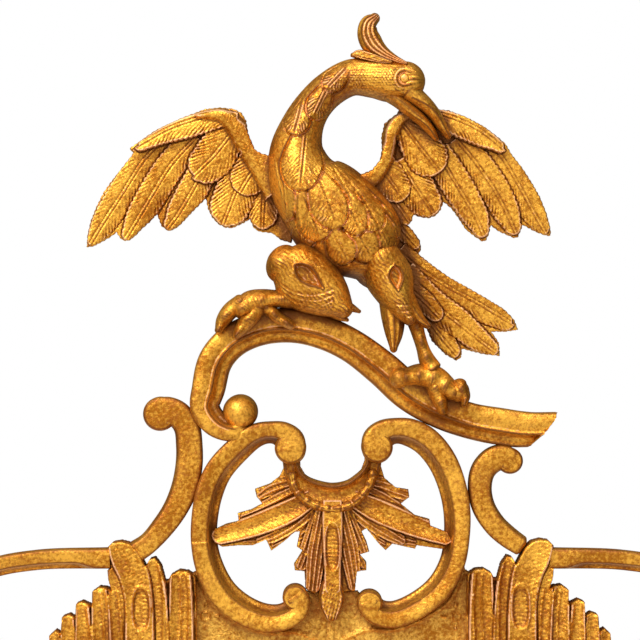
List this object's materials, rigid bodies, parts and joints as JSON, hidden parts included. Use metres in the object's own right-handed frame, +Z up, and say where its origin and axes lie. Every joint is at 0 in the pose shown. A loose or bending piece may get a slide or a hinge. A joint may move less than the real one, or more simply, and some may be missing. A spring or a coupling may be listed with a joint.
{
  "type": "girandole mirror",
  "caption": "Wall mirror in a carved gilt frame with a pierced scroll crest, a crested long-necked bird, side scrolls and swivelling candle arms.",
  "frame": {"origin": "middle of the top rail's back face, against the wall", "axes": "+Z up, +X to the right of someone who looks at the mirror, front faces -Y and the back +Y"},
  "size_m": [0.6542, 0.2295, 1.2626],
  "materials": {
    "gilt_scroll": "carved lime wood, water gilded over red-brown bole, burnished faces",
    "gilt_shell": "carved lime wood, gilded, matt and rubbed, bole showing in the flutes",
    "gilt_ground": "gilded ground with punched flowers and stippling",
    "gilt_bird": "carved and gilded, feathers cut in the ground, worn pale on high edges",
    "gilt_frame": "gilded pine with oil gilding on its edges",
    "gilt_slip": "burnished gilt moulding",
    "mirror_glass": "silvered plate",
    "back_pine": "bare oxidised pine",
    "screw_iron": "oxidised iron",
    "hanger_brass": "dull brass wire",
    "gilt_metal": "cast brass, gilded"
  },
  "bodies": {
    "frame": {"swan_neck_scroll": "gilt_scroll", "ring_scroll_left": "gilt_scroll", "ring_scroll_right": "gilt_scroll", "flank_scroll_left": "gilt_scroll", "flank_scroll_right": "gilt_scroll", "shoulder_scroll_left": "gilt_scroll", "shoulder_scroll_right": "gilt_scroll", "side_scroll_upper_left": "gilt_scroll", "side_scroll_upper_right": "gilt_scroll", "side_scroll_lower_left": "gilt_scroll", "side_scroll_lower_right": "gilt_scroll", "corner_scroll_left": "gilt_scroll", "corner_scroll_right": "gilt_scroll", "shell_spray": "gilt_shell", "pendant_leaf": "gilt_shell", "apron_shell": "gilt_shell", "shoulder_shell_left": "gilt_shell", "shoulder_shell_right": "gilt_shell", "side_leaf_left": "gilt_shell", "side_leaf_right": "gilt_shell", "crest_panel": "gilt_ground", "bird_body": "gilt_bird", "bird_comb": "gilt_bird", "wing_left": "gilt_bird", "wing_right": "gilt_bird", "tail": "gilt_bird", "leg_left": "gilt_bird", "leg_right": "gilt_bird", "top_rail": "gilt_frame", "bottom_rail": "gilt_frame", "stile_left": "gilt_frame", "stile_right": "gilt_frame", "sight_moulding_top": "gilt_slip", "sight_moulding_bottom": "gilt_slip", "sight_moulding_left": "gilt_slip", "sight_moulding_right": "gilt_slip", "mirror_plate": "mirror_glass", "backboard": "back_pine", "crest_batten_left": "back_pine", "crest_batten_right": "back_pine", "backboard_screw_1": "screw_iron", "backboard_screw_2": "screw_iron", "backboard_screw_3": "screw_iron", "backboard_screw_4": "screw_iron", "hanger_screw_left": "screw_iron", "hanger_screw_right": "screw_iron", "hanger_strap_left": "screw_iron", "hanger_strap_right": "screw_iron", "candle_bracket_left": "gilt_metal", "candle_bracket_right": "gilt_metal"},
    "arm_left": {"candle_arm_left": "gilt_metal", "drip_pan_left": "gilt_metal"},
    "arm_right": {"candle_arm_right": "gilt_metal", "drip_pan_right": "gilt_metal"},
    "candle_nozzle_left": {"nozzle_left": "gilt_metal"},
    "candle_nozzle_right": {"nozzle_right": "gilt_metal"},
    "loop_left": {"hanger_ring_left": "hanger_brass"},
    "loop_right": {"hanger_ring_right": "hanger_brass"}
  },
  "joints": [
    {"name": "arm_left_swivel", "type": "hinge", "parent": "frame", "child": "arm_left", "pos_m": [-0.232, -0.058, -0.633], "axis": [0, 0, 1], "range_deg": [-50, 50]},
    {"name": "nozzle_left_lift", "type": "slide", "parent": "arm_left", "child": "candle_nozzle_left", "axis": [0, 0, 1], "range_m": [0, 0.05]},
    {"name": "hanger_ring_left_swing", "type": "hinge", "parent": "frame", "child": "loop_left", "pos_m": [-0.235, 0.00452, -0.1168], "axis": [1, 0, 0], "range_deg": [0, 175]},
    {"name": "arm_right_swivel", "type": "hinge", "parent": "frame", "child": "arm_right", "pos_m": [0.232, -0.058, -0.633], "axis": [0, 0, 1], "range_deg": [-50, 50]},
    {"name": "nozzle_right_lift", "type": "slide", "parent": "arm_right", "child": "candle_nozzle_right", "axis": [0, 0, 1], "range_m": [0, 0.05]},
    {"name": "hanger_ring_right_swing", "type": "hinge", "parent": "frame", "child": "loop_right", "pos_m": [0.235, 0.00452, -0.1168], "axis": [1, 0, 0], "range_deg": [0, 175]}
  ]
}
